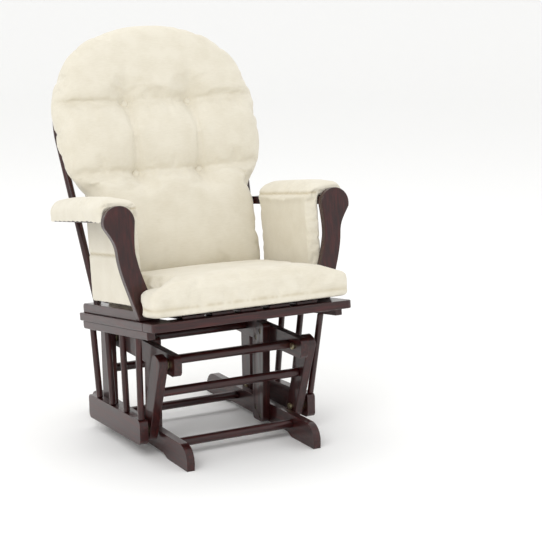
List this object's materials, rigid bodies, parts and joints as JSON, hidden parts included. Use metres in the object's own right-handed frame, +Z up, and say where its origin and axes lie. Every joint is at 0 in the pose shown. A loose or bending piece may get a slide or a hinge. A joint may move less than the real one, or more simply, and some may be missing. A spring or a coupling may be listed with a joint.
{
  "type": "glider nursery chair",
  "caption": "Wooden glider rocking chair on a still base with swing links, a bow back, and thick buttoned cushions on seat, back and arms.",
  "frame": {"origin": "on the floor, at the middle of the overall width and depth", "axes": "+Z up; the chair faces -Y; +X is the sitter's left"},
  "size_m": [0.658, 0.6824, 1.0168],
  "materials": {
    "stained_wood": "satin lacquer over a dark cherry stain",
    "cushion_cloth": "soft woven microfibre",
    "hardware": "zinc plated"
  },
  "bodies": {
    "base": {"foot_left": "stained_wood", "foot_right": "stained_wood", "post_left": "stained_wood", "post_right": "stained_wood", "top_rail_left": "stained_wood", "top_rail_right": "stained_wood", "foot_stretcher_front": "stained_wood", "foot_stretcher_rear": "stained_wood", "top_stretcher_front": "stained_wood", "top_stretcher_rear": "stained_wood", "post_bolts": "hardware"},
    "front_swing": {"front_link_left": "stained_wood", "front_link_right": "stained_wood", "front_link_dowel": "stained_wood", "front_bearings": "hardware", "front_pivot_bolts": "hardware"},
    "rear_swing": {"rear_link_left": "stained_wood", "rear_link_right": "stained_wood", "rear_link_dowel": "stained_wood", "rear_bearings": "hardware", "rear_pivot_bolts": "hardware"},
    "seat": {"lower_rail_left": "stained_wood", "lower_rail_right": "stained_wood", "spindles_left": "stained_wood", "spindles_right": "stained_wood", "apron_left": "stained_wood", "apron_right": "stained_wood", "deck_front_rail": "stained_wood", "deck_side_rail_left": "stained_wood", "deck_side_rail_right": "stained_wood", "deck_rear_rail": "stained_wood", "seat_slats": "stained_wood", "slat_screws": "hardware", "arm_base_left": "stained_wood", "arm_base_right": "stained_wood", "arm_post_left": "stained_wood", "arm_post_right": "stained_wood", "arm_board_left": "stained_wood", "arm_board_right": "stained_wood", "arm_screws": "hardware", "back_foot_rail": "stained_wood", "back_bow": "stained_wood", "back_spindles": "stained_wood", "seat_cushion": "cushion_cloth", "back_cushion": "cushion_cloth", "cushion_buttons": "cushion_cloth", "arm_pad_left": "cushion_cloth", "arm_pad_right": "cushion_cloth"}
  },
  "joints": [
    {"name": "front_swing_hinge", "type": "hinge", "parent": "base", "child": "front_swing", "pos_m": [0, -0.23032, 0.238], "axis": [1, 0, 0], "range_deg": [-12, 12]},
    {"name": "seat_hinge", "type": "hinge", "parent": "front_swing", "child": "seat", "pos_m": [0, -0.17039, 0.06297], "axis": [1, 0, 0], "range_deg": [-15.5, 15.5]},
    {"name": "rear_swing_hinge", "type": "hinge", "parent": "base", "child": "rear_swing", "pos_m": [0, 0.07568, 0.238], "axis": [1, 0, 0], "range_deg": [-11.3, 11.3]}
  ],
  "couplings": [
    {"joint": "seat_hinge", "follows": "front_swing_hinge", "ratio": -1.2794},
    {"joint": "rear_swing_hinge", "follows": "front_swing_hinge", "ratio": 0.9307}
  ]
}
